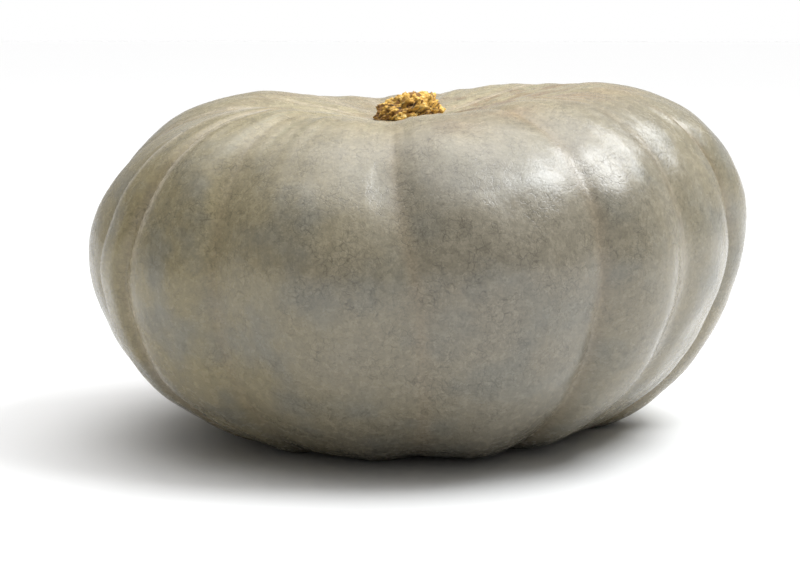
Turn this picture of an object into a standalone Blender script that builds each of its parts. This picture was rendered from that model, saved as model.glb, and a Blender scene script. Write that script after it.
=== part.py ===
"""A whole kabocha squash: one broad ribbed fruit and the corky stub of its stem.

Metres, +Z up. The fruit's front is toward -Y, and it rests on the flats under its lobes at Z = 0.
Azimuths are in degrees round the fruit, 0 at the front and growing toward +X.
"""

import math

import bmesh
import bpy
import numpy as np
from mathutils import Vector, noise

MM = 0.001

# The fruit's profile from the stem's seat to the middle of the underside: reach and height, in mm. Where
# it dips below the floor, the skin is pressed flat.
PROFILE = (
    (0, 142), (16, 142), (28, 144), (52, 148), (84, 151), (116, 141), (139, 117), (147, 90),
    (142, 63), (129, 38), (106, 16), (80, 2), (58, -2), (38, 1), (20, 6), (8, 7), (0, 5),
)
# One row for each lobe. First the furrow on its left: its azimuth at the belly, how many degrees it swings
# from there to the crown and to the underside, how deep it is, how far along the profile it is deepest, and
# how soft its valley is, from 0 for a sharp fold. Then how much further than the profile the lobe reaches
# at the belly, stands at the crown and lifts at the underside. Angles in degrees, lengths in mm.
LOBES = (
    (1, -6, 2, 7.5, 0.38, 0.12, -4, -3, 0),
    (34, -3, 3, 8.5, 0.56, 0.05, -2, 2, 3),
    (55.2, -5, 3, 6, 0.54, 0.15, -4, 4, 3),
    (82, -14, 0, 9, 0.5, 0.05, 5.5, 4.5, -8),
    (104, 0, 0, 6, 0.45, 0.12, 4.5, 3, 0),
    (134, 0, 0, 6, 0.45, 0.15, 2, 0, 0),
    (162, 7, 0, 6, 0.45, 0.1, 0, -6.5, 0),
    (200, -7, 0, 6, 0.45, 0.12, 0, -6, 0),
    (222, 0, 0, 5, 0.45, 0.2, 2, 5.5, 0),
    (248, 0, 0, 6, 0.45, 0.12, -1.5, 0.5, 0),
    (268, 2, 0, 6, 0.45, 0.15, 0.3, -4, 0),
    (293, 8, 0, 5, 0.44, 0.1, 2, 1, -1),
    (302.5, 9, 0, 4.5, 0.44, 0.1, -1.5, 1, -2),
    (323.5, 0, 0, 8, 0.45, 0.12, -5, -5, 0),
)
ROUND_LOBE = 66  # degrees: a lobe half as wide as this is evenly round from furrow to furrow
CROWN_DEPTH = 0.2  # share of a furrow's depth that is left at the crown
LOW_DEPTH = 0.25  # and at the underside
UP_FADE = 0.12  # of the profile's length: how soon a furrow gets shallow above its deepest place
LOW_FADE = 0.18  # and below it
SWING_REACH = 0.2  # of the profile's length: how soon a furrow swings
BELLY_HEIGHT = 90 * MM
BELLY_REACH = 147 * MM
CROWN_RISE = 50 * MM  # from the belly up to where a lobe's crown value counts in full
SEAT_RADIUS = 16 * MM  # the stem's seat is flat, and the lobes grow out of it
SEAT_MARGIN = 20 * MM
TOP_SHIFT = (-3 * MM, 1.5 * MM)  # how far the stem's seat lies off the belly's middle
SHIFT_START = 80 * MM  # the shift grows from this height
SHIFT_RISE = 60 * MM
LEAN = 0.033  # rise of the right side for each metre out from the axis
LEAN_HEIGHT = 60 * MM  # the lean fades out below this, so the underside stays level

NUDGE = 0.001  # a short way along the profile, to find which way it runs

COLUMNS_PER_LOBE = 7
RINGS = 38

# The stem's stub, a lumpy mound seated in the dip of the crown.
STEM_RADIUS = 15 * MM
STEM_HEIGHT = 11.5 * MM
STEM_GAP = 0.3 * MM
STEM_LUMP = 2 * MM
BIG_LUMPS = 2.1  # lumps across half the stub
SMALL_LUMPS = 4.7
STEM_LEAN = 4 * MM  # its summit stands this far right of its base
STEM_COLUMNS = 40
STEM_RINGS = 20

RIND_COLOUR = (0.33, 0.31, 0.26)
CORK_COLOUR = (0.36, 0.22, 0.08)


def clear_scene():
    for obj in list(bpy.data.objects):
        bpy.data.objects.remove(obj)


def ease(value):
    """0 below 0, 1 above 1, and a smooth step between."""
    value = np.clip(value, 0.0, 1.0)
    return value * value * (3 - 2 * value)


def smooth_through(knots, values, at):
    """The smooth curve through the values at the knots, read at other places."""
    slopes = np.gradient(values, knots)
    i = np.clip(np.searchsorted(knots, at, side="right") - 1, 0, len(knots) - 2)
    gap = knots[i + 1] - knots[i]
    t = (at - knots[i]) / gap
    from_start = (2 * t**3 - 3 * t**2 + 1) * values[i] + (t**3 - 2 * t**2 + t) * gap * slopes[i]
    to_end = (3 * t**2 - 2 * t**3) * values[i + 1] + (t**3 - t**2) * gap * slopes[i + 1]
    return from_start + to_end


def smooth_round(azimuths, values, at):
    """The same, all the way round the fruit, so that the last value runs into the first."""
    knots = np.concatenate([azimuths[-3:] - 360, azimuths, azimuths[:3] + 360])
    return smooth_through(knots, np.concatenate([values[-3:], values, values[:3]]), at)


def profile_at(along):
    """Reach, height and outward normal of the profile, along from 0 at the stem to 1 underneath."""
    points = np.array(PROFILE) * MM
    steps = np.hypot(*np.diff(points, axis=0).T)
    knots = np.concatenate([[0.0], np.cumsum(steps)]) / steps.sum()

    def read(place):
        return np.array([smooth_through(knots, points[:, axis], place) for axis in (0, 1)])

    reach, height = read(along)
    ahead = read(np.clip(along + NUDGE, 0, 1)) - read(np.clip(along - NUDGE, 0, 1))
    length = np.hypot(*ahead)
    return reach, height, -ahead[1] / length, ahead[0] / length


def furrow_depth(across, width, left, right, along):
    """Depth of the valley at a place across a lobe, from -1 at its left furrow to 1 at its right. Left and
    right are each furrow's depth, deepest place and softness. On a narrow lobe the valleys keep closer to
    the furrows."""
    depth, deepest, soft = (np.where(across < 0, *pair) for pair in zip(left, right))
    above = CROWN_DEPTH + (1 - CROWN_DEPTH) * np.exp(-(((along - deepest) / UP_FADE) ** 2))
    below = LOW_DEPTH + (1 - LOW_DEPTH) * np.exp(-(((along - deepest) / LOW_FADE) ** 2))
    away = (np.hypot(1 - np.abs(across), soft) - soft) / (np.hypot(1, soft) - soft)
    return depth * np.where(along < deepest, above, below) * (1 - away) ** (ROUND_LOBE / width)


def swing_at(azimuth, along):
    """How many degrees a place is turned from its azimuth at the belly, as the furrows swing."""
    rows = np.array(LOBES, dtype=float)
    up_swing, low_swing = (smooth_round(rows[:, 0], rows[:, column], azimuth) for column in (1, 2))
    share = (0.5 - along) / np.hypot(0.5 - along, SWING_REACH)
    return np.where(share > 0, up_swing, -low_swing) * share


def fruit_points(azimuth, along):
    """Points on the fruit's skin, from the azimuth at the belly and the way along the profile."""
    rows = np.array(LOBES, dtype=float)
    depths, reaches, rises, tucks = rows[:, (3, 6, 7, 8)].T * MM
    deepest, softness = rows[:, (4, 5)].T
    edges = np.append(rows[:, 0], rows[0, 0] + 360)
    middles = (edges[:-1] + edges[1:]) / 2
    lobe = np.clip(np.searchsorted(edges, azimuth, side="right") - 1, 0, len(rows) - 1)
    after = (lobe + 1) % len(rows)
    width = edges[lobe + 1] - edges[lobe]
    across = 2 * (azimuth - edges[lobe]) / width - 1

    reach, height, out, up = profile_at(along)
    wide = reach / BELLY_REACH
    off_seat = ease((reach - SEAT_RADIUS) / SEAT_MARGIN)
    crown = wide * off_seat * ease((height - BELLY_HEIGHT) / CROWN_RISE)
    under = wide * ease((BELLY_HEIGHT - height) / BELLY_HEIGHT)
    left = (depths[lobe], deepest[lobe], softness[lobe])
    right = (depths[after], deepest[after], softness[after])
    valley = off_seat * furrow_depth(across, width, left, right, along)
    radius = reach + smooth_round(middles, reaches, azimuth) * wide**2 - valley * out
    z = height + smooth_round(middles, rises, azimuth) * crown
    z = z + smooth_round(middles, tucks, azimuth) * under - valley * up

    turn = np.radians(azimuth + swing_at(azimuth, along))
    shift = ease((height - SHIFT_START) / SHIFT_RISE) * (1 - 0.6 * wide**2)
    x = radius * np.sin(turn) + TOP_SHIFT[0] * shift
    y = TOP_SHIFT[1] * shift - radius * np.cos(turn)
    z = z + LEAN * x * ease(z / LEAN_HEIGHT)
    return np.stack([x, y, np.maximum(z, 0.0)], axis=-1)


def shape_of(bm):
    """The mesh's points as one array."""
    return np.array([vert.co[:] for vert in bm.verts])


def place(bm, points):
    for vert, point in zip(bm.verts, points):
        vert.co = point


def round_sphere(columns, rings):
    """A unit sphere whose columns run from +Z to -Z."""
    bm = bmesh.new()
    bmesh.ops.create_uvsphere(bm, u_segments=columns, v_segments=rings, radius=1.0)
    return bm


def fruit_mesh():
    """The ribbed fruit: a sphere whose columns gather at the furrows, drawn out to the skin."""
    bm = round_sphere(len(LOBES) * COLUMNS_PER_LOBE, RINGS)
    unit = shape_of(bm)
    along = np.arccos(np.clip(unit[:, 2], -1, 1)) / math.pi
    turn = np.arctan2(unit[:, 0], -unit[:, 1]) / (2 * math.pi) * len(LOBES)
    turn = np.round(turn * COLUMNS_PER_LOBE) / COLUMNS_PER_LOBE % len(LOBES)
    lobe = turn.astype(int)
    edges = np.array([row[0] for row in LOBES] + [LOBES[0][0] + 360], dtype=float)
    across = (1 + np.sin((turn - lobe - 0.5) * math.pi)) / 2
    azimuth = edges[lobe] + across * (edges[lobe + 1] - edges[lobe])
    place(bm, fruit_points(azimuth, along))
    return bm


def stem_mesh():
    """The stem's stub: a mound with a flat base, its summit right of its middle, all lumps."""
    bm = round_sphere(STEM_COLUMNS, STEM_RINGS)
    seat = fruit_points(np.array([0.0]), np.array([0.0]))[0]
    points = []
    for x, y, z in shape_of(bm):
        lump = noise.noise(Vector((x, y, z)) * BIG_LUMPS) + 0.6 * noise.noise(Vector((x, y, z)) * SMALL_LUMPS)
        spread = STEM_RADIUS + STEM_LUMP * lump
        rise = max(z, 0.0) * (STEM_HEIGHT + STEM_LUMP * lump)
        across = x * spread + STEM_LEAN * max(z, 0.0)
        points.append((seat[0] + across, seat[1] + y * spread, seat[2] + STEM_GAP + LEAN * across + rise))
    place(bm, points)
    return bm


def rind():
    return principled("rind", RIND_COLOUR, 0.4)


def cork():
    return principled("cork", CORK_COLOUR, 0.9)


def principled(name, colour, roughness):
    material = bpy.data.materials.new(name)
    material.use_nodes = True
    shader = material.node_tree.nodes["Principled BSDF"]
    shader.inputs["Base Color"].default_value = (*colour, 1.0)
    shader.inputs["Roughness"].default_value = roughness
    shader.inputs["Metallic"].default_value = 0.0
    return material


def add_piece(name, bm, material, middle):
    """One closed piece, moved so that the fruit's middle stands over the origin."""
    bmesh.ops.translate(bm, verts=bm.verts, vec=-middle)
    bmesh.ops.recalc_face_normals(bm, faces=bm.faces)
    mesh = bpy.data.meshes.new(name)
    bm.to_mesh(mesh)
    bm.free()
    mesh.shade_smooth()
    mesh.materials.append(material)
    piece = bpy.data.objects.new(name, mesh)
    bpy.context.scene.collection.objects.link(piece)


def main():
    clear_scene()
    fruit = fruit_mesh()
    points = shape_of(fruit)
    middle = Vector((*(points.min(axis=0) + points.max(axis=0))[:2] / 2, 0.0))
    add_piece("squash", fruit, rind(), middle)
    add_piece("stem", stem_mesh(), cork(), middle)


main()
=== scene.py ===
"""A whole kabocha squash: the ribbed fruit's grown skin and the crumbling cork of its stem."""

import math

import bmesh
import bpy
import numpy as np
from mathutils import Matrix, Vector, noise


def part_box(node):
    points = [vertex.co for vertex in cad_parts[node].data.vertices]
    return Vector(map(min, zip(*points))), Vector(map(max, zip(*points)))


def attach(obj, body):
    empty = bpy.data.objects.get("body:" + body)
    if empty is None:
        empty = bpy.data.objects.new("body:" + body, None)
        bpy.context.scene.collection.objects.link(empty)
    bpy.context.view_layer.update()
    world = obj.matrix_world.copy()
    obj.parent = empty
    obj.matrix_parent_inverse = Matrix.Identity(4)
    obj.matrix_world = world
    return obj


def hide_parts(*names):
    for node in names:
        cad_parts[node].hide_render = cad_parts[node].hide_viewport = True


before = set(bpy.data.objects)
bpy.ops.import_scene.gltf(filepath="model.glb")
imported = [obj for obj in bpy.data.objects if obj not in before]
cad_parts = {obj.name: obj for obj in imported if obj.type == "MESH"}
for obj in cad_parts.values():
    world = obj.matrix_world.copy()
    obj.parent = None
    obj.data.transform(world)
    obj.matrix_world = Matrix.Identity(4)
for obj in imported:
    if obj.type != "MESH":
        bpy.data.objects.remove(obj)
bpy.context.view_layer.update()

MM = 0.001

# The fruit's profile from the stem's seat to the middle of the underside: reach and height, in mm.
PROFILE = (
    (0, 142), (16, 142), (28, 144), (52, 148), (84, 151), (116, 141), (139, 117), (147, 90),
    (142, 63), (129, 38), (106, 16), (80, 2), (58, -2), (38, 1), (20, 6), (8, 7), (0, 5),
)
# One row for each lobe. First the furrow on its left: its azimuth at the belly, how many degrees it swings
# from there to the crown and to the underside, how deep it is, how far along the profile it is deepest, and
# how soft its valley is, from 0 for a sharp fold. Then how much further than the profile the lobe reaches
# at the belly, stands at the crown and lifts at the underside. Angles in degrees, lengths in mm.
LOBES = (
    (1, -6, 2, 7.5, 0.38, 0.12, -4, -3, 0),
    (34, -3, 3, 8.5, 0.56, 0.05, -2, 2, 3),
    (55.2, -5, 3, 5.2, 0.54, 0.35, -4, 4, 3),
    (82, -14, 0, 9, 0.5, 0.05, 5.5, 4.5, -8),
    (104, 0, 0, 6, 0.45, 0.12, 4.5, 3, 0),
    (134, 0, 0, 6, 0.45, 0.15, 2, 0, 0),
    (162, 7, 0, 6, 0.45, 0.1, 0, -6.5, 0),
    (200, -7, 0, 6, 0.45, 0.12, 0, -6, 0),
    (222, 0, 0, 5, 0.45, 0.2, 2, 5.5, 0),
    (248, 0, 0, 6, 0.45, 0.12, -1.5, 0.5, 0),
    (268, 2, 0, 6, 0.45, 0.15, 0.3, -4, 0),
    (293, 8, 0, 5, 0.44, 0.1, 2, 1, -1),
    (302.5, 9, 0, 4.5, 0.44, 0.1, -1.5, 1, -2),
    (323.5, 0, 0, 8, 0.45, 0.12, -5, -5, 0),
)
ROUND_LOBE = 66  # degrees: a lobe half as wide as this is evenly round from furrow to furrow
CROWN_DEPTH = 0.2  # share of a furrow's depth that is left at the crown
LOW_DEPTH = 0.25  # and at the underside
UP_FADE = 0.12  # of the profile's length: how soon a furrow gets shallow above its deepest place
LOW_FADE = 0.18  # and below it
SWING_REACH = 0.2  # of the profile's length: how soon a furrow swings
BELLY_HEIGHT = 90 * MM
BELLY_REACH = 147 * MM
CROWN_RISE = 50 * MM  # from the belly up to where a lobe's crown value counts in full
SEAT_RADIUS = 16 * MM  # the stem's seat is flat, and the lobes grow out of it
SEAT_MARGIN = 20 * MM
TOP_SHIFT = (-3 * MM, 1.5 * MM)  # how far the stem's seat lies off the belly's middle
SHIFT_START = 80 * MM  # the shift grows from this height
SHIFT_RISE = 60 * MM
SHIFT_SPREAD = 0.6  # how much less of the shift there is out at the belly's reach than on the axis
LEAN = 0.033  # rise of the right side for each metre out from the axis
LEAN_HEIGHT = 60 * MM  # the lean fades out below this, so the underside stays level

NUDGE = 0.001  # a short way along the profile, to find which way it runs

COLUMNS = 388  # round the fruit, shared out by the lobes' widths
RINGS = 250  # from the stem's seat to the blossom scar
FURROW_GATHER = 0.7  # how strongly the columns gather at the furrows
# How far the edge of a lobe stands proud at each furrow, in mm, on the side past the furrow, or before it
# where the number is negative.
LIPS = (0, 0, 0, -2, -0.8, 0.5, -0.5, 0.4, -0.4, 0.6, -0.3, 0.8, 0.7, 0)
LIP_WIDTH = 2.5 * MM
LIP_MIDDLE = 0.36  # of the profile's length: where the lips stand highest
LIP_FADE = 0.22
FILLED_FURROW = 2  # the third furrow all but ends near the crown, where two lobes run into one
FILL_HEIGHT = 1.2 * MM
FILL_WIDTH = 9 * MM
FILL_END = 0.46  # of the profile's length: the fill starts here and is whole a FILL_FADE higher up
FILL_FADE = 0.16
# The skin's unevenness. The ribs' two numbers say how often they change round the fruit and along it.
RIB_HEIGHT = 0.9 * MM
RIBS = (6.0, 1.6)
FINE_RIB_HEIGHT = 0.35 * MM
FINE_RIBS = (19.0, 3.0)
FINE_RIB_FLOOR = 0.4  # the share of the fine ribs that shows everywhere
FINE_RIB_MIDDLE = 0.2  # of the profile's length: they stand highest here, near the crown
FINE_RIB_FADE = 0.12
SWELL_HEIGHT = 0.8 * MM
BIG_SWELL = 0.055  # metres across one swelling
SMALL_SWELL = 0.021
RIPPLE_HEIGHT = 0.16 * MM
RIPPLE = 0.008

FOLD_WIDTHS = (3.5,) * len(LOBES)  # how far the tan of each furrow spreads, in mm
# How tan each furrow is, how pale the line beside it is, by the side as above, and how wide that line is. The
# pale line is partly paler skin and partly a painted highlight on the lobe's proud edge.
# Then how far tan blotches cover each lobe at the crown, and how olive each lobe is. The olive is partly the
# rind's own tint and partly painted light, making the left lobes warmer and lighter.
FOLD_TANS = (0.3, 0.35, 0.2, 0.7, 0.5, 0.4, 0.5, 0.4, 0.4, 0.45, 0.4, 0.3, 0.3, 0.2)
PALE_LINES = (0, 0, 0.15, -1.0, -0.5, 0.3, -0.35, 0.3, -0.3, 0.3, -0.4, 0.6, 0.6, 0)
PALE_WIDTHS = (1, 1, 1, 1, 1.2, 1.2, 1.5, 1.5, 1.5, 1.5, 1.5, 3, 2.8, 1)  # in mm
PALE_SET_OFF = 1.2  # how many of its widths a pale line lies from its furrow
TANS = (0.7, 0.9, 1.0, 1.0, 1.0, 0.8, 0.5, 0.4, 0.4, 0.3, 0.3, 0.2, 0.1, 0.15)
OLIVES = (0.15, 0.3, 0.45, 0.55, 0.7, 0.5, 0.4, 0.5, 0.6, 0.7, 0.8, 0.95, 0.9, 0.55)
GRAIN_ALONG = 0.06  # how much slower the streaks' noise changes along the fruit than round it

# Brown patches on the crown: right, back, and how wide, in mm, and how brown.
CROWN_BROWN_PATCHES = (
    (64, -43, 17, 1.0),
    (38, -79, 12, 0.8),
    (15, -95, 12, 0.5),
    (90, -12, 10, 0.6),
    (-60, -45, 15, 0.3),
    (-20, 88, 18, 0.5),
)

CAMERA_RISE = 7.8  # degrees above level
CAMERA_DISTANCE = 1.05
CAMERA_LENS = 103.1
AIM = (-9.8 * MM, -17.0 * MM)  # the view's middle, from the belly's middle: to the right and up
BELLY = Vector((0.0, 0.0, 0.08))  # the middle of the fruit, which the camera and the lights turn about
FLOOR_SIZE = 8.0
FLOOR_DROP = 0.0002  # the floor lies this far under the fruit
FLOOR_WHITE = (0.80, 0.80, 0.80, 1.0)
SOFTBOX_WHITE = (0.95, 0.98, 1.0)
SOFTBOX_DISTANCE = 1.2
SKY_LOW = 0.15
SKY_TOP = 4.4
SKY_POWER = 6.0
SKY_MIDDLE = (0.05, 0.16, 0.986)  # where the light from above is strongest, a little behind the fruit
WALL_RISE = 0.35  # how high the white wall behind stands, beside how far off it is
WALL_GLOW = 0.35


# ---------------------------------------------------------------- the fruit's form

def ease(value):
    """0 below 0, 1 above 1, and a smooth step between."""
    value = np.clip(value, 0.0, 1.0)
    return value * value * (3 - 2 * value)


def smooth_through(knots, values, at):
    """The smooth curve through the values at the knots, read at other places."""
    slopes = np.gradient(values, knots)
    i = np.clip(np.searchsorted(knots, at, side="right") - 1, 0, len(knots) - 2)
    gap = knots[i + 1] - knots[i]
    t = (at - knots[i]) / gap
    from_start = (2 * t**3 - 3 * t**2 + 1) * values[i] + (t**3 - 2 * t**2 + t) * gap * slopes[i]
    to_end = (3 * t**2 - 2 * t**3) * values[i + 1] + (t**3 - t**2) * gap * slopes[i + 1]
    return from_start + to_end


def smooth_round(azimuths, values, at):
    """The same, all the way round the fruit, so that the last value runs into the first."""
    knots = np.concatenate([azimuths[-3:] - 360, azimuths, azimuths[:3] + 360])
    return smooth_through(knots, np.concatenate([values[-3:], values, values[:3]]), at)


def profile_at(along):
    """Reach, height and outward normal of the profile, along from 0 at the stem to 1 underneath."""
    points = np.array(PROFILE) * MM
    steps = np.hypot(*np.diff(points, axis=0).T)
    knots = np.concatenate([[0.0], np.cumsum(steps)]) / steps.sum()

    def read(place):
        return np.array([smooth_through(knots, points[:, axis], place) for axis in (0, 1)])

    reach, height = read(along)
    ahead = read(np.clip(along + NUDGE, 0, 1)) - read(np.clip(along - NUDGE, 0, 1))
    length = np.hypot(*ahead)
    return reach, height, -ahead[1] / length, ahead[0] / length


def lobe_table():
    """The lobes' rows, and the azimuths of all their edges, with the first again at the end."""
    rows = np.array(LOBES, dtype=float)
    edges = np.append(rows[:, 0], rows[0, 0] + 360)
    return rows, edges


def lobe_middles():
    _, edges = lobe_table()
    return (edges[:-1] + edges[1:]) / 2


def across_lobe(azimuth):
    """Which lobe a place is on, how far across it, -1 to 1, and how wide that lobe is in degrees."""
    rows, edges = lobe_table()
    lobe = np.clip(np.searchsorted(edges, azimuth, side="right") - 1, 0, len(rows) - 1)
    width = edges[lobe + 1] - edges[lobe]
    return lobe, 2 * (azimuth - edges[lobe]) / width - 1, width


def furrow_depth(across, width, left, right, along):
    """Depth of the valley at a place across a lobe, from -1 at its left furrow to 1 at its right. Left and
    right are each furrow's depth, deepest place and softness. On a narrow lobe the valleys keep closer to
    the furrows."""
    depth, deepest, soft = (np.where(across < 0, *pair) for pair in zip(left, right))
    above = CROWN_DEPTH + (1 - CROWN_DEPTH) * np.exp(-(((along - deepest) / UP_FADE) ** 2))
    below = LOW_DEPTH + (1 - LOW_DEPTH) * np.exp(-(((along - deepest) / LOW_FADE) ** 2))
    away = (np.hypot(1 - np.abs(across), soft) - soft) / (np.hypot(1, soft) - soft)
    return depth * np.where(along < deepest, above, below) * (1 - away) ** (ROUND_LOBE / width)


def swing_at(azimuth, along):
    """How many degrees a place is turned from its azimuth at the belly, as the furrows swing."""
    rows, _ = lobe_table()
    up_swing, low_swing = (smooth_round(rows[:, 0], rows[:, column], azimuth) for column in (1, 2))
    share = (0.5 - along) / np.hypot(0.5 - along, SWING_REACH)
    return np.where(share > 0, up_swing, -low_swing) * share


def fruit_points(azimuth, along, relief):
    """Points on the fruit's skin, from the azimuth at the belly and the way along the profile. Relief is
    how much further out the skin stands there than the plain lobes."""
    rows, _ = lobe_table()
    depths, reaches, rises, tucks = rows[:, (3, 6, 7, 8)].T * MM
    deepest, softness = rows[:, (4, 5)].T
    middles = lobe_middles()
    lobe, across, width = across_lobe(azimuth)
    after = (lobe + 1) % len(rows)

    reach, height, out, up = profile_at(along)
    wide = reach / BELLY_REACH
    off_seat = ease((reach - SEAT_RADIUS) / SEAT_MARGIN)
    crown = wide * off_seat * ease((height - BELLY_HEIGHT) / CROWN_RISE)
    under = wide * ease((BELLY_HEIGHT - height) / BELLY_HEIGHT)
    left = (depths[lobe], deepest[lobe], softness[lobe])
    right = (depths[after], deepest[after], softness[after])
    valley = off_seat * furrow_depth(across, width, left, right, along) - relief
    radius = reach + smooth_round(middles, reaches, azimuth) * wide**2 - valley * out
    z = height + smooth_round(middles, rises, azimuth) * crown
    z = z + smooth_round(middles, tucks, azimuth) * under - valley * up

    turn = np.radians(azimuth + swing_at(azimuth, along))
    shift = ease((height - SHIFT_START) / SHIFT_RISE) * (1 - SHIFT_SPREAD * wide**2)
    x = radius * np.sin(turn) + TOP_SHIFT[0] * shift
    y = TOP_SHIFT[1] * shift - radius * np.cos(turn)
    z = z + LEAN * x * ease(z / LEAN_HEIGHT)
    return np.stack([x, y, np.maximum(z, 0.0)], axis=-1)


def noise_at(points, size, offset):
    """Soft noise about 0, with features of this size in metres."""
    shift = Vector(offset)
    return np.array([noise.noise(Vector(point) / size + shift) for point in points])


def furrow_distance(azimuth, along):
    """Metres along the skin from a place to the nearest furrow, negative before it and positive past it, and
    which furrow that is."""
    lobe, across, width = across_lobe(azimuth)
    distance = (1 - np.abs(across)) / 2 * np.radians(width) * profile_at(along)[0]
    return np.where(across < 0, distance, -distance), np.where(across < 0, lobe, (lobe + 1) % len(LOBES))


def lip_relief(azimuth, along):
    """The edge of a lobe that stands a little proud where it meets its neighbour."""
    distance, furrow = furrow_distance(azimuth, along)
    lips = np.array(LIPS)[furrow] * MM
    away = np.abs(distance) / LIP_WIDTH
    strength = np.exp(-(((along - LIP_MIDDLE) / LIP_FADE) ** 2))
    return np.where(lips * distance > 0, np.abs(lips) * away * np.exp(1 - away), 0.0) * strength


def crown_fill(azimuth, along):
    """What evens out the filled furrow near the crown."""
    distance, furrow = furrow_distance(azimuth, along)
    fill = FILL_HEIGHT * np.exp(-((distance / FILL_WIDTH) ** 2)) * ease((FILL_END - along) / FILL_FADE)
    return np.where(furrow == FILLED_FURROW, fill, 0.0)


def meridian_noise(azimuth, along, scales, offset):
    """Noise drawn out into long ribs that run from crown to underside."""
    round_scale, along_scale = scales
    turn = np.radians(azimuth)
    places = np.stack([np.sin(turn) * round_scale, np.cos(turn) * round_scale, along * along_scale], axis=-1)
    return noise_at(places, 1.0, offset)


def skin_relief(azimuth, along):
    """How far the skin stands out from the plain lobes: lips, faint ribs that run down from the crown, and
    the uneven swelling of a grown thing."""
    plain = fruit_points(azimuth, along, 0.0)
    reach = profile_at(along)[0]
    off_seat = ease((reach - SEAT_RADIUS) / SEAT_MARGIN)
    ribs = RIB_HEIGHT * meridian_noise(azimuth, along, RIBS, (2, 5, 1))
    fine_ribs = FINE_RIB_HEIGHT * meridian_noise(azimuth, along, FINE_RIBS, (7, 3, 4))
    near_crown = np.exp(-(((along - FINE_RIB_MIDDLE) / FINE_RIB_FADE) ** 2))
    ribs = ribs + fine_ribs * (FINE_RIB_FLOOR + near_crown)
    big_swell = SWELL_HEIGHT * noise_at(plain, BIG_SWELL, (3, 1, 7))
    small_swell = SWELL_HEIGHT * noise_at(plain, SMALL_SWELL, (5, 2, 1))
    ripple = RIPPLE_HEIGHT * noise_at(plain, RIPPLE, (9, 4, 2))
    edges = lip_relief(azimuth, along) + crown_fill(azimuth, along)
    unseated = ease(reach / (2 * SEAT_RADIUS) - 0.3)
    return off_seat * (ribs + edges) + unseated * (big_swell + small_swell + ripple)


# ---------------------------------------------------------------- making pieces

def round_sphere(columns, rings):
    """A unit sphere whose columns run from +Z to -Z, with its faces in the same order every time."""
    bm = bmesh.new()
    bmesh.ops.create_uvsphere(bm, u_segments=columns, v_segments=rings, radius=1.0)
    bm.verts.index_update()

    def rank(face):
        corners = [vert.index for vert in face.verts]
        return min(corners) * 4 * len(bm.verts) + sum(corners)

    bm.faces.sort(key=rank)
    return bm


def shape_of(bm):
    """The mesh's points as one array."""
    return np.array([vert.co[:] for vert in bm.verts])


def place(bm, points):
    for vert, point in zip(bm.verts, points):
        vert.co = point


def finish_piece(name, bm, material, node, marks):
    """A closed, smooth piece that stands for a CAD node. Marks are its named values at each point."""
    bmesh.ops.recalc_face_normals(bm, faces=bm.faces)
    mesh = bpy.data.meshes.new(name)
    bm.to_mesh(mesh)
    bm.free()
    for mark, values in marks.items():
        kind = "FLOAT_VECTOR" if values.ndim == 2 else "FLOAT"
        layer = mesh.attributes.new(mark, kind, "POINT")
        layer.data.foreach_set("vector" if values.ndim == 2 else "value", values.astype(np.float32).ravel())
    mesh.shade_smooth()
    mesh.materials.append(material)
    piece = bpy.data.objects.new(name, mesh)
    bpy.context.scene.collection.objects.link(piece)
    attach(piece, "root")
    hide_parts(node)


def column_azimuths(step):
    """The azimuth of each column, from its number: the columns are shared out by the lobes' widths and
    gather at the furrows."""
    _, edges = lobe_table()
    starts = np.round((edges - edges[0]) / 360 * COLUMNS)
    lobe = np.clip(np.searchsorted(starts, step, side="right") - 1, 0, len(LOBES) - 1)
    part = (step - starts[lobe]) / (starts[lobe + 1] - starts[lobe])
    gathered = (1 + np.sin((part - 0.5) * math.pi)) / 2
    part = FURROW_GATHER * gathered + (1 - FURROW_GATHER) * part
    return edges[lobe] + part * (edges[lobe + 1] - edges[lobe])


def fruit_places(bm):
    """The azimuth and the way along of each point of a sphere, for the fruit that it becomes."""
    unit = shape_of(bm)
    along = np.arccos(np.clip(unit[:, 2], -1, 1)) / math.pi
    step = np.round(np.arctan2(unit[:, 0], -unit[:, 1]) / (2 * math.pi) * COLUMNS) % COLUMNS
    return column_azimuths(step), along


def grain_places(azimuth, along):
    """Places on which noise is drawn out into streaks from crown to underside."""
    turn = np.radians(azimuth)
    return np.stack([np.sin(turn), np.cos(turn), along * GRAIN_ALONG], axis=-1)


def fold_mark(azimuth, along, widths, set_off, strengths):
    """1 along each furrow's side, fading over its width in mm, by how strong it is at that furrow: past the
    furrow, or before it where the strength is negative. Set off is how many widths it lies from it."""
    distance, furrow = furrow_distance(azimuth, along)
    strength = np.array(strengths, dtype=float)[furrow]
    width = np.array(widths, dtype=float)[furrow] * MM
    side = np.where(strength < 0, -1.0, 1.0)
    return np.abs(strength) * np.exp(-((distance * side / width - set_off) ** 2))


def brown_patch_mark(points):
    """How brown each place is, by the brown patches near it on the crown."""
    x, y, z = points.T
    brown = np.zeros(len(points))
    for right, back, wide, strength in CROWN_BROWN_PATCHES:
        away = np.hypot(x - right * MM, y - back * MM) / (wide * MM)
        brown = np.maximum(brown, strength * np.exp(-(away**2)))
    return brown * ease(z / BELLY_HEIGHT - 1)


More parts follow.
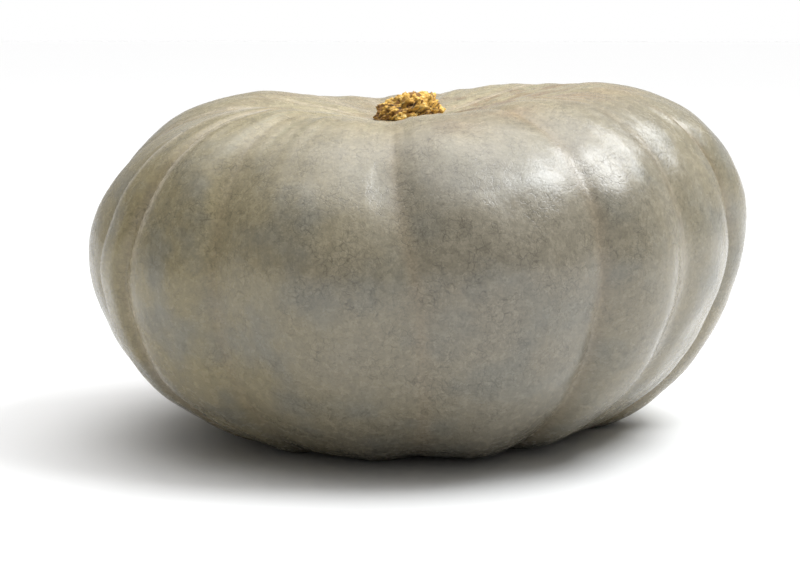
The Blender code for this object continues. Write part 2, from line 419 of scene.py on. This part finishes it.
def make_fruit():
    """The fruit's skin, moved so that its plain form stands where the CAD node does, and how far it moved."""
    bm = round_sphere(COLUMNS, RINGS)
    azimuth, along = fruit_places(bm)
    points = fruit_points(azimuth, along, skin_relief(azimuth, along))
    plain = fruit_points(azimuth, along, 0.0)
    low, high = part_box("squash")
    middle = (plain.min(axis=0) + plain.max(axis=0)) / 2
    offset = np.array([(low.x + high.x) / 2 - middle[0], (low.y + high.y) / 2 - middle[1], 0.0])
    place(bm, points + offset)
    marks = {
        "along": along,
        "grain": grain_places(azimuth, along),
        "fold": fold_mark(azimuth, along, FOLD_WIDTHS, 0.0, FOLD_TANS),
        "pale_line": fold_mark(azimuth, along, PALE_WIDTHS, PALE_SET_OFF, PALE_LINES),
        "tan": smooth_round(lobe_middles(), np.array(TANS, dtype=float), azimuth),
        "brown_patch": brown_patch_mark(points + offset),
        "olive": smooth_round(lobe_middles(), np.array(OLIVES, dtype=float), azimuth),
    }
    finish_piece("fruit_skin", bm, rind_material(), "squash", marks)
    return offset


# ---------------------------------------------------------------- materials

class Finish:
    """A material's node tree, with short calls for the few kinds of node that the finishes use."""

    def __init__(self, name):
        self.material = bpy.data.materials.new(name)
        self.material.use_nodes = True
        self.tree = self.material.node_tree
        self.shader = self.tree.nodes["Principled BSDF"]

    def node(self, kind, **settings):
        made = self.tree.nodes.new(kind)
        for key, value in settings.items():
            setattr(made, key, value)
        return made

    def feed(self, socket, value):
        if isinstance(value, bpy.types.NodeSocket):
            self.tree.links.new(value, socket)
        else:
            socket.default_value = value

    def place(self):
        return self.node("ShaderNodeTexCoord").outputs["Object"]

    def mark(self, name, output="Fac"):
        return self.node("ShaderNodeAttribute", attribute_name=name).outputs[output]

    def noise(self, vector, scale, detail=3.0, roughness=0.5):
        made = self.node("ShaderNodeTexNoise")
        self.feed(made.inputs["Vector"], vector)
        for key, value in (("Scale", scale), ("Detail", detail), ("Roughness", roughness)):
            made.inputs[key].default_value = value
        return made.outputs["Fac"]

    def stirred(self, vector, scale, amount):
        """The same places pushed about by noise, so that a pattern on them isn't regular."""
        made = self.node("ShaderNodeTexNoise")
        self.feed(made.inputs["Vector"], vector)
        made.inputs["Scale"].default_value = scale
        push = self.node("ShaderNodeVectorMath", operation="MULTIPLY_ADD")
        self.feed(push.inputs[0], made.outputs["Color"])
        push.inputs[1].default_value = (amount, amount, amount)
        self.feed(push.inputs[2], vector)
        return push.outputs[0]

    def cracks(self, vector, scale):
        """Distance to the nearest edge of a net of cells."""
        made = self.node("ShaderNodeTexVoronoi", feature="DISTANCE_TO_EDGE")
        self.feed(made.inputs["Vector"], vector)
        made.inputs["Scale"].default_value = scale
        return made.outputs["Distance"]

    def band(self, value, start, end, low=0.0, high=1.0):
        """Low where value is at start, high where it is at end, smooth between."""
        made = self.node("ShaderNodeMapRange", interpolation_type="SMOOTHSTEP")
        self.feed(made.inputs["Value"], value)
        for key, number in (("From Min", start), ("From Max", end), ("To Min", low), ("To Max", high)):
            made.inputs[key].default_value = number
        return made.outputs["Result"]

    def sum(self, operation, first, second):
        made = self.node("ShaderNodeMath", operation=operation)
        self.feed(made.inputs[0], first)
        self.feed(made.inputs[1], second)
        return made.outputs[0]

    def mix(self, share, first, second, blend="MIX"):
        made = self.node("ShaderNodeMix", data_type="RGBA", blend_type=blend)
        self.feed(made.inputs[0], share)
        self.feed(made.inputs[6], first if isinstance(first, bpy.types.NodeSocket) else (*first, 1.0))
        self.feed(made.inputs[7], second if isinstance(second, bpy.types.NodeSocket) else (*second, 1.0))
        return made.outputs[2]

    def bump(self, height, distance, strength):
        made = self.node("ShaderNodeBump")
        made.inputs["Strength"].default_value = strength
        made.inputs["Distance"].default_value = distance
        self.feed(made.inputs["Height"], height)
        return made.outputs["Normal"]


RIND_GREY = (0.212, 0.192, 0.153)
RIND_OLIVE = (0.272, 0.228, 0.125)
RIND_BLUE = (0.182, 0.176, 0.146)
CROWN_BEIGE = (0.385, 0.323, 0.2)
CROWN_GREEN = (0.325, 0.298, 0.182)
TAN = (0.285, 0.205, 0.12)
PALE = (0.62, 0.55, 0.45)
BROWN_PATCH_COLOUR = (0.30, 0.21, 0.125)
SPOT_BROWN = (0.27, 0.19, 0.11)
# How fine each pattern is, in features to the metre. Streaks go by the grain, round a circle of radius 1.
BROAD_SCALE = 13.0
PATCH_SCALE = 42.0
TAN_SCALE = 36.0
BROWN_PATCH_SCALE = 100.0
SPOT_SCALE = 95.0
BREAK_SCALE = 75.0
NET_SCALE = 270.0
FINE_NET_SCALE = 640.0
MOTTLE_SCALE = 260.0
SPECKLE_SCALE = 800.0
STREAK_SCALE = 34.0
FINE_STREAK_SCALE = 110.0
# Where each crown colour starts and where it is whole, along the profile from the stem.
CROWN_BAND = (0.36, 0.14)
TAN_BAND = (0.30, 0.14)
SPOT_BAND = (0.3, 0.16)
CRACK_DARKNESS = 0.36
RIND_ROUGHNESS = (0.20, 0.30)


def rind_colour(f, where, along):
    """Warm and cool patches, beige and green streaks down from the crown, and tan folds with a pale line,
    which is partly paler skin and partly a painted highlight on the lobe's proud edge.
    """
    broad = f.noise(where, BROAD_SCALE, 3.0)
    patches = f.noise(where, PATCH_SCALE, 4.0, 0.5)
    streaks = f.noise(f.mark("grain", "Vector"), STREAK_SCALE, 4.0, 0.6)
    # The olive share, highest on the left lobes, is partly the rind's own tint and partly painted light on
    # that side.
    olive = f.mark("olive")
    colour = f.mix(f.sum("MULTIPLY", olive, f.band(broad, 0.3, 0.55, 0.6, 1.0)), RIND_GREY, RIND_OLIVE)
    colour = f.mix(f.band(patches, 0.42, 0.72, 0.0, 0.7), colour, RIND_BLUE)

    uneven = f.sum("ADD", along, f.band(patches, 0.3, 0.7, 0.04, -0.04))
    crown = f.sum("MULTIPLY", f.band(uneven, *CROWN_BAND), 0.95)
    top = f.mix(f.sum("MULTIPLY", olive, f.band(streaks, 0.6, 0.35)), CROWN_BEIGE, CROWN_GREEN)
    colour = f.mix(crown, colour, top)

    tans = f.band(f.noise(where, TAN_SCALE, 4.0, 0.7), 0.46, 0.60)
    tans = f.sum("MULTIPLY", tans, f.band(along, *TAN_BAND))
    colour = f.mix(f.sum("MULTIPLY", tans, f.mark("tan")), colour, TAN)
    brown_patches = f.band(f.noise(where, BROWN_PATCH_SCALE, 4.0, 0.7), 0.32, 0.6, 0.3, 1.0)
    colour = f.mix(f.sum("MULTIPLY", f.mark("brown_patch"), brown_patches), colour, BROWN_PATCH_COLOUR)
    spots = f.band(f.noise(where, SPOT_SCALE, 3.0, 0.7), 0.62, 0.70)
    spots = f.sum("MULTIPLY", spots, f.band(along, *SPOT_BAND, 0.06, 0.5))
    colour = f.mix(spots, colour, SPOT_BROWN)

    folds = f.sum("MULTIPLY", f.mark("fold"), f.band(patches, 0.3, 0.6, 0.35, 0.7))
    colour = f.mix(folds, colour, TAN)
    # The pale line: partly paler skin, partly a painted highlight along the lobe's proud edge.
    lines = f.sum("MULTIPLY", f.mark("pale_line"), f.band(patches, 0.25, 0.6, 0.4, 0.9))
    return f.mix(lines, colour, PALE)


def rind_cracks(f, where):
    """A broken net of hairline cracks, with a finer net between them."""
    net = f.cracks(f.stirred(f.stirred(where, 90.0, 0.006), 420.0, 0.0018), NET_SCALE)
    fine_net = f.cracks(f.stirred(where, 330.0, 0.003), FINE_NET_SCALE)
    nets = f.sum("MAXIMUM", f.band(net, 0.06, 0.0), f.sum("MULTIPLY", f.band(fine_net, 0.12, 0.0), 0.5))
    broken = f.band(f.noise(where, BREAK_SCALE, 4.0, 0.7), 0.38, 0.62, 0.12, 1.0)
    return f.sum("MULTIPLY", nets, broken)


def rind_material():
    """The grey waxy rind: its colours, made lighter and darker by fine mottling and darker in the cracks."""
    f = Finish("grey_waxy_rind")
    where = f.place()
    along = f.mark("along")
    mottle = f.noise(where, MOTTLE_SCALE, 5.0, 0.6)
    speckle = f.noise(where, SPECKLE_SCALE, 3.0, 0.6)
    fine_streaks = f.noise(f.mark("grain", "Vector"), FINE_STREAK_SCALE, 3.0, 0.6)
    cracks = rind_cracks(f, where)

    shade = f.sum("ADD", f.band(mottle, 0.3, 0.7, 0.90, 1.10), f.band(speckle, 0.3, 0.7, -0.12, 0.12))
    shade = f.sum("ADD", shade, f.band(fine_streaks, 0.3, 0.7, -0.03, 0.03))
    shade = f.sum("SUBTRACT", shade, f.sum("MULTIPLY", cracks, CRACK_DARKNESS))
    shades = f.node("ShaderNodeCombineColor")
    for channel in ("Red", "Green", "Blue"):
        f.feed(shades.inputs[channel], shade)
    colour = rind_colour(f, where, along)
    f.feed(f.shader.inputs["Base Color"], f.mix(1.0, colour, shades.outputs[0], "MULTIPLY"))

    f.feed(f.shader.inputs["Roughness"], f.band(mottle, 0.3, 0.7, *RIND_ROUGHNESS))
    f.shader.inputs["Specular IOR Level"].default_value = 0.55
    height = f.sum("ADD", mottle, f.sum("MULTIPLY", speckle, 0.3))
    height = f.sum("SUBTRACT", height, f.sum("MULTIPLY", cracks, 0.27))
    f.feed(f.shader.inputs["Normal"], f.bump(height, 0.0003, 0.48))
    return f.material


CORK_BROWN = (0.29, 0.14, 0.035)
CORK_OCHRE = (0.84, 0.49, 0.09)
CORK_STRAW = (0.95, 0.76, 0.32)
CORK_PIT = (0.035, 0.022, 0.02)
FIBRE_SCALE = 420.0
GRIT_SCALE = 1100.0


def cork_material():
    """Torn cork: each crumb its own brown or ochre, lighter on the proud crumbs and toward the right as
    painted light, with straw-coloured flecks and dark purple-brown pits, partly the cork's own pits and
    partly painted shade in the seams and hollows.
    """
    f = Finish("stem_cork")
    where = f.place()
    fibres = f.noise(where, FIBRE_SCALE, 4.0, 0.65)
    grit = f.noise(where, GRIT_SCALE, 3.0, 0.6)
    tone = f.sum("ADD", f.mark("tone"), f.band(fibres, 0.3, 0.7, -0.3, 0.3))
    colour = f.mix(f.band(tone, 0.15, 0.75), CORK_BROWN, CORK_OCHRE)
    straw = f.sum("MULTIPLY", f.band(tone, 0.65, 1.0), f.band(grit, 0.42, 0.62))
    colour = f.mix(straw, colour, CORK_STRAW)
    # Near-black seams and hollows: partly the cork's own dark pits, partly painted shade.
    pits = f.sum("MAXIMUM", f.mark("pit"), f.band(fibres, 0.36, 0.27, 0.0, 0.7))
    colour = f.mix(pits, colour, CORK_PIT)
    f.feed(f.shader.inputs["Base Color"], colour)
    f.shader.inputs["Roughness"].default_value = 0.7
    f.shader.inputs["Specular IOR Level"].default_value = 0.35
    f.feed(f.shader.inputs["Normal"], f.bump(f.sum("ADD", fibres, grit), 0.0006, 0.7))
    return f.material


# ---------------------------------------------------------------- the stem

STEM_SEED = 7  # which crumbs of cork it has, of all that it might
STEM_RADIUS = 15 * MM
STEM_HEIGHT = 11.5 * MM
STEM_GAP = 0.3 * MM
STEM_LUMP = 2 * MM
STEM_LEAN = 4 * MM  # its summit stands this far right of its base
# How many lumps and torn crumbs there are in one radius of the stub.
BIG_LUMPS = 2.1
SMALL_LUMPS = 4.7
CRUMBS = 4.6
SMALL_CRUMBS = 12.0
STIR = 0.16  # how far the crumbs are pushed out of line, beside the stub's radius
PAINTED_RIGHT_LIGHT = 0.1  # how much lighter the right edge is than the middle: painted light from the right


def cell_at(point, seam_width):
    """The cell that a place is in: how much the place is on its seam, from 0 to 1, then the cell's middle and
    the way from there to the place."""
    (near, second, *_), middles = noise.voronoi(point)
    seam = math.exp(-(((second - near) / seam_width) ** 2))
    return seam, middles[0], point - middles[0]


def crumbs_at(point):
    """How far torn crumbs stand out at a place on the stub, how dark it is in the seams between crumbs and in
    the hollows, partly the cork's own dark pits and partly painted shade, and its crumb's tone.
    """
    stirred = point + STIR * noise.noise_vector(point * 3.0)
    seam, middle, across = cell_at(stirred * CRUMBS, 0.12)
    small_seam, small_middle, small_across = cell_at(stirred * SMALL_CRUMBS + Vector((3, 1, 2)), 0.14)
    tone = 0.5 + 0.9 * noise.noise(middle * 5.3 + Vector((0.5, 0.2, 0.7)))
    slope = noise.noise_vector(middle * 9.1).dot(across)
    small_slope = noise.noise_vector(small_middle * 7.7).dot(small_across)
    deep = max(0.0, noise.noise(point * 2.6 + Vector((4, 2, 9))) + 0.15)
    # Lighter crumbs stand prouder, so the stub's tops come out ochre: partly painted light on the tops.
    out = 0.4 * tone + 1.3 * slope + 0.7 * small_slope - 0.25 * seam - 0.2 * small_seam - 1.6 * deep**1.5
    out = out + 0.2 * noise.noise(point * 14.0) + 0.14 * noise.noise(point * 27.0)
    # The pit value darkens the seams and the deep hollows: painted shade, with the cork's own dark pits.
    return out, min(1.0, seam * (0.25 + 1.5 * deep) + 0.2 * small_seam), tone


def make_stem(offset):
    """The stub of cork, a lumpy dome on the fruit's seat. Offset is how far the fruit was moved."""
    noise.seed_set(STEM_SEED)
    bm = bmesh.new()
    bmesh.ops.create_icosphere(bm, subdivisions=6, radius=1.0)
    seat = fruit_points(np.array([0.0]), np.array([0.0]), 0.0)[0] + offset
    points, pits, tones = [], [], []
    for x, y, z in shape_of(bm):
        point = Vector((x, y, z))
        out, pit, tone = crumbs_at(point)
        torn = out * float(ease(z / 0.2 + 0.6))
        lump = noise.noise(point * BIG_LUMPS) + 0.6 * noise.noise(point * SMALL_LUMPS) + torn
        spread = STEM_RADIUS + STEM_LUMP * lump
        rise = max(z, 0.0) * (STEM_HEIGHT + STEM_LUMP * lump)
        across = x * spread + STEM_LEAN * max(z, 0.0)
        height = seat[2] + STEM_GAP + LEAN * across + rise
        points.append((seat[0] + across, seat[1] + y * spread, height))
        pits.append(pit)
        # The right side's extra tone is painted light.
        tones.append(tone + 0.02 + PAINTED_RIGHT_LIGHT * x)
    place(bm, points)
    marks = {"pit": np.array(pits), "tone": np.array(tones)}
    finish_piece("stem_cork", bm, cork_material(), "stem", marks)


# ---------------------------------------------------------------- the studio

def make_camera():
    rise = math.radians(CAMERA_RISE)
    back = Vector((0.0, -math.cos(rise), math.sin(rise)))
    upward = Vector((0.0, math.sin(rise), math.cos(rise)))
    camera = bpy.data.objects.new("camera", bpy.data.cameras.new("camera"))
    camera.data.lens = CAMERA_LENS
    camera.location = BELLY + back * CAMERA_DISTANCE
    aim = BELLY + Vector((AIM[0], 0.0, 0.0)) + upward * AIM[1]
    camera.rotation_euler = (aim - camera.location).to_track_quat("-Z", "Y").to_euler()
    bpy.context.scene.collection.objects.link(camera)
    bpy.context.scene.camera = camera


def softbox(name, azimuth, rise, width, height, watts):
    """A soft rectangular light on a sphere round the fruit, facing it."""
    lamp = bpy.data.objects.new(name, bpy.data.lights.new(name, "AREA"))
    lamp.data.shape = "RECTANGLE"
    lamp.data.size = width
    lamp.data.size_y = height
    lamp.data.energy = watts
    lamp.data.color = SOFTBOX_WHITE
    a, e = math.radians(azimuth), math.radians(rise)
    out = Vector((math.sin(a) * math.cos(e), -math.cos(a) * math.cos(e), math.sin(e)))
    lamp.location = BELLY + out * SOFTBOX_DISTANCE
    lamp.rotation_euler = (-out).to_track_quat("-Z", "Y").to_euler()
    bpy.context.scene.collection.objects.link(lamp)


def make_sky():
    """Soft white light that grows toward overhead, over a plain white floor and a low white wall behind."""
    world = bpy.data.worlds.new("studio_white")
    bpy.context.scene.world = world
    world.use_nodes = True
    tree = world.node_tree
    glow = tree.nodes["Background"]
    glow.inputs["Color"].default_value = (1.0, 1.0, 1.0, 1.0)

    def sum_of(operation, first, second, third=0.0):
        made = tree.nodes.new("ShaderNodeMath")
        made.operation = operation
        for socket, value in zip(made.inputs, (first, second, third)):
            if isinstance(value, bpy.types.NodeSocket):
                tree.links.new(value, socket)
            else:
                socket.default_value = value
        return made.outputs[0]

    split = tree.nodes.new("ShaderNodeSeparateXYZ")
    direction = tree.nodes.new("ShaderNodeTexCoord").outputs["Generated"]
    tree.links.new(direction, split.inputs[0])
    toward = tree.nodes.new("ShaderNodeVectorMath")
    toward.operation = "DOT_PRODUCT"
    tree.links.new(direction, toward.inputs[0])
    toward.inputs[1].default_value = SKY_MIDDLE
    rise = sum_of("POWER", sum_of("MAXIMUM", toward.outputs["Value"], 0.0), SKY_POWER)
    upper = sum_of("MULTIPLY_ADD", rise, SKY_TOP, SKY_LOW)
    wall = sum_of("MAXIMUM", sum_of("MULTIPLY", split.outputs["Y"], WALL_RISE), 0.0)
    behind = sum_of("LESS_THAN", split.outputs["Z"], wall)
    below = sum_of("LESS_THAN", split.outputs["Z"], 0.0)
    upper = sum_of("MULTIPLY_ADD", behind, WALL_GLOW, upper)
    strength = sum_of("MULTIPLY_ADD", below, 1.0 - SKY_LOW - WALL_GLOW, upper)
    tree.links.new(strength, glow.inputs["Strength"])


def make_studio():
    bm = bmesh.new()
    bmesh.ops.create_grid(bm, x_segments=1, y_segments=1, size=FLOOR_SIZE / 2)
    mesh = bpy.data.meshes.new("floor")
    bm.to_mesh(mesh)
    bm.free()
    floor = bpy.data.objects.new("floor", mesh)
    floor.location.z = -FLOOR_DROP
    paper = Finish("white_paper")
    paper.shader.inputs["Base Color"].default_value = FLOOR_WHITE
    paper.shader.inputs["Roughness"].default_value = 0.8
    paper.shader.inputs["Specular IOR Level"].default_value = 0.1
    mesh.materials.append(paper.material)
    bpy.context.scene.collection.objects.link(floor)

    make_sky()
    softbox("high_softbox", 75, 57, 0.45, 0.5, 9.4)
    softbox("right_softbox", 118, 45, 0.5, 0.5, 6)
    bpy.context.scene.view_settings.view_transform = "Standard"
    bpy.context.scene.view_settings.look = "None"


def main():
    make_studio()
    make_camera()
    offset = make_fruit()
    make_stem(offset)


main()
